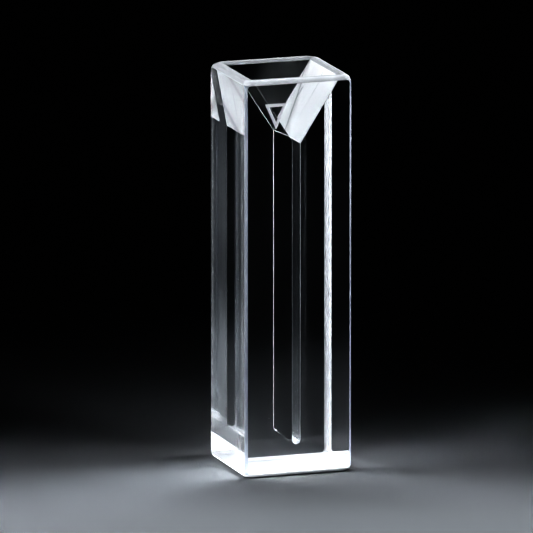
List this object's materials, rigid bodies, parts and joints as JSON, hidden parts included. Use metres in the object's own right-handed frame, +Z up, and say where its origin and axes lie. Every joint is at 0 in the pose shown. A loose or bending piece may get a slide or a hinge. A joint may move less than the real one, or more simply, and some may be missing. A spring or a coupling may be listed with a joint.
{
  "type": "cuvette",
  "caption": "Tall square fused quartz cell with polished windows, a narrow upright sample slot, a V-shaped funnel mouth, ground edges and a flat ground base.",
  "frame": {"origin": "centre of the base, on the plane it stands on", "axes": "+Z up along the height; -Y out of the marked front window, so the light path is along Y; X across the slot's width"},
  "size_m": [0.0126, 0.0126, 0.045],
  "materials": {
    "quartz": "polished clear fused quartz; base, rim and chamfers finely ground to a white frost"
  },
  "bodies": {
    "root": {"glass_cell": "quartz"}
  },
  "joints": []
}
